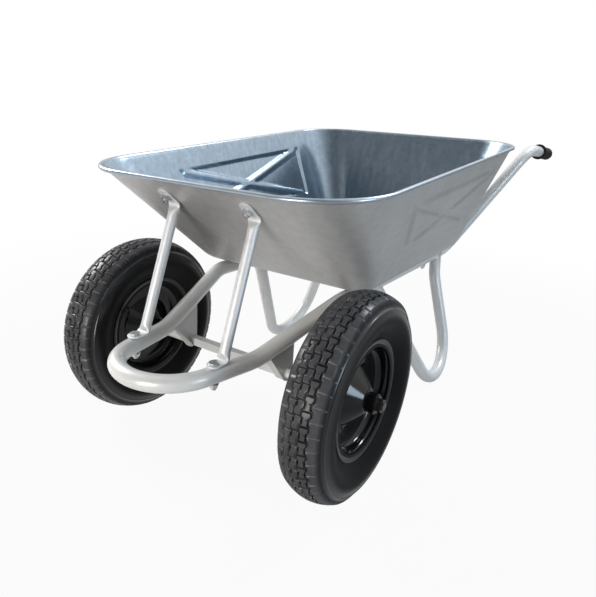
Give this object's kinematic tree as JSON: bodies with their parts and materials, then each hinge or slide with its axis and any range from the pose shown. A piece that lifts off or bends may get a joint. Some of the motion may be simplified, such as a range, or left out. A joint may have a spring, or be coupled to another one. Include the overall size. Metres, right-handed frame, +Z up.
{
  "type": "two wheel wheelbarrow",
  "caption": "Two wheel wheelbarrow with a deep pressed sheet tray, a bent tube frame, bolted nose braces, U shaped legs and pneumatic tyred disc wheels that turn on a through axle.",
  "frame": {"origin": "on the ground, at the middle of the part's length and width", "axes": "+Y from the nose to the handles, +X to the left of the person pushing, +Z up"},
  "size_m": [0.7224, 1.4792, 0.6534],
  "materials": {
    "frame_paint": "semi-gloss silver grey paint",
    "zinc": "bright zinc plate",
    "galvanised_sheet": "galvanised sheet, soft gloss",
    "wheel_paint": "gloss black paint",
    "black_steel": "black oxide steel",
    "bush_plastic": "black nylon",
    "tyre_rubber": "black rubber with block tread",
    "tube_rubber": "matt black rubber",
    "grip_rubber": "black rubber"
  },
  "bodies": {
    "frame": {"main_tube": "frame_paint", "left_leg": "frame_paint", "right_leg": "frame_paint", "left_axle_bracket": "frame_paint", "right_axle_bracket": "frame_paint", "axle": "frame_paint", "left_axle_spacer": "frame_paint", "right_axle_spacer": "frame_paint", "axle_washers": "black_steel", "axle_nuts": "black_steel", "left_brace": "zinc", "right_brace": "zinc", "brace_lower_bolts": "zinc", "brace_upper_bolts": "zinc", "brace_washers": "zinc", "brace_nuts": "zinc", "tray": "galvanised_sheet", "rim_wire": "zinc", "tray_bolts": "zinc", "tray_washers": "zinc", "tray_nuts": "zinc", "left_grip": "grip_rubber", "right_grip": "grip_rubber"},
    "left_wheel": {"left_tyre": "tyre_rubber", "left_inner_tube": "tube_rubber", "left_rim_outer": "wheel_paint", "left_rim_inner": "wheel_paint", "left_hub": "wheel_paint", "left_bushes": "bush_plastic", "left_valve_stem": "tube_rubber", "left_valve_cap": "bush_plastic"},
    "right_wheel": {"right_tyre": "tyre_rubber", "right_inner_tube": "tube_rubber", "right_rim_outer": "wheel_paint", "right_rim_inner": "wheel_paint", "right_hub": "wheel_paint", "right_bushes": "bush_plastic", "right_valve_stem": "tube_rubber", "right_valve_cap": "bush_plastic"}
  },
  "joints": [
    {"name": "left_wheel_spin", "type": "hinge", "parent": "frame", "child": "left_wheel", "pos_m": [0.2745, -0.44596, 0.2], "axis": [1, 0, 0], "continuous": true},
    {"name": "right_wheel_spin", "type": "hinge", "parent": "frame", "child": "right_wheel", "pos_m": [-0.2745, -0.44596, 0.2], "axis": [1, 0, 0], "continuous": true}
  ]
}
